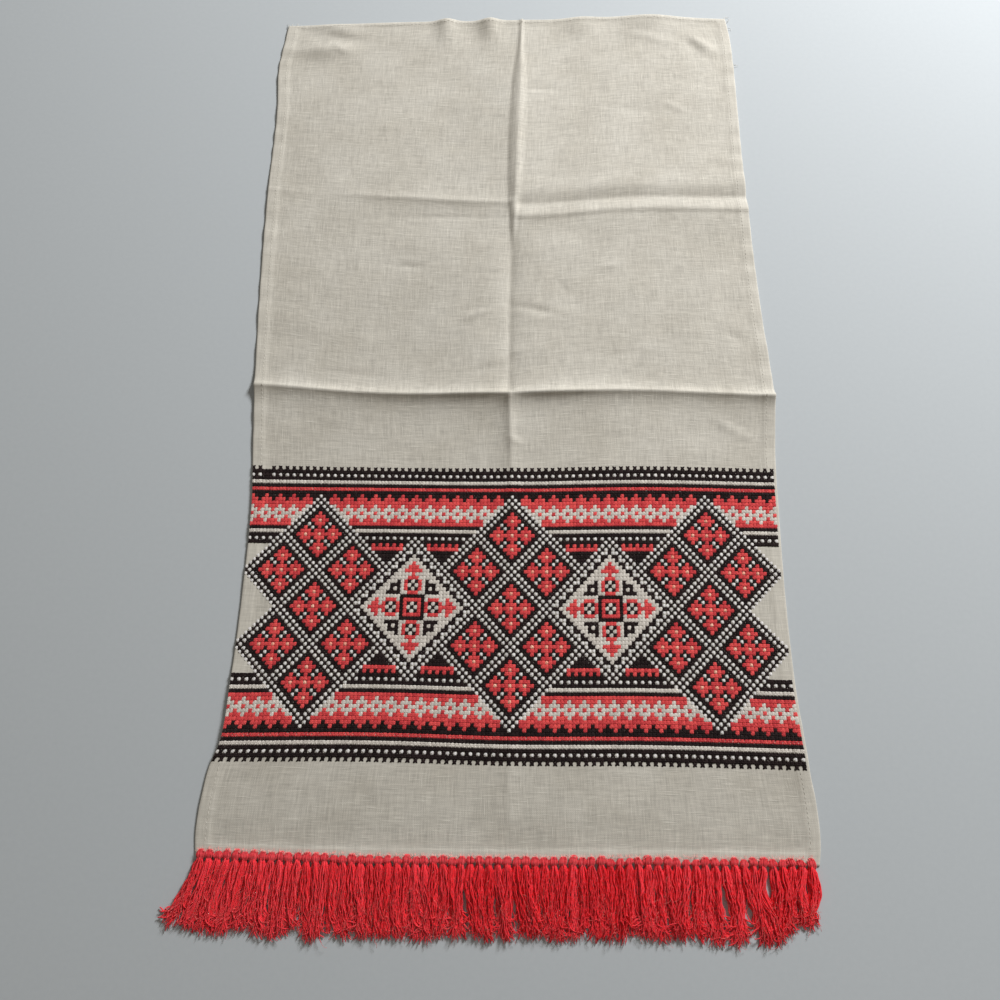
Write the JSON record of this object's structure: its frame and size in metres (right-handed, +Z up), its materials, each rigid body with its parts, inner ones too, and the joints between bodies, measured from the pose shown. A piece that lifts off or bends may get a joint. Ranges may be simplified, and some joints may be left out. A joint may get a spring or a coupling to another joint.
{
  "type": "rushnyk ritual towel",
  "caption": "Flat linen ritual towel with a cross-stitched band of diamonds and rosettes near its lower end and a knotted red yarn fringe along that hem.",
  "frame": {"origin": "middle of the base of the whole towel, fringe included, on the surface it lies on", "axes": "+Y runs up the towel from the fringe to the plain end, +X is to the right seen from above with the fringe nearest, +Z is up"},
  "size_m": [0.4262, 0.739, 0.0083],
  "materials": {
    "linen": "natural plain-weave linen, matte",
    "red_yarn": "soft plied yarn, matte",
    "black_stitch": "matte embroidery thread",
    "red_stitch": "matte embroidery thread"
  },
  "bodies": {
    "root": {"cloth": "linen", "fringe": "red_yarn"}
  },
  "joints": []
}
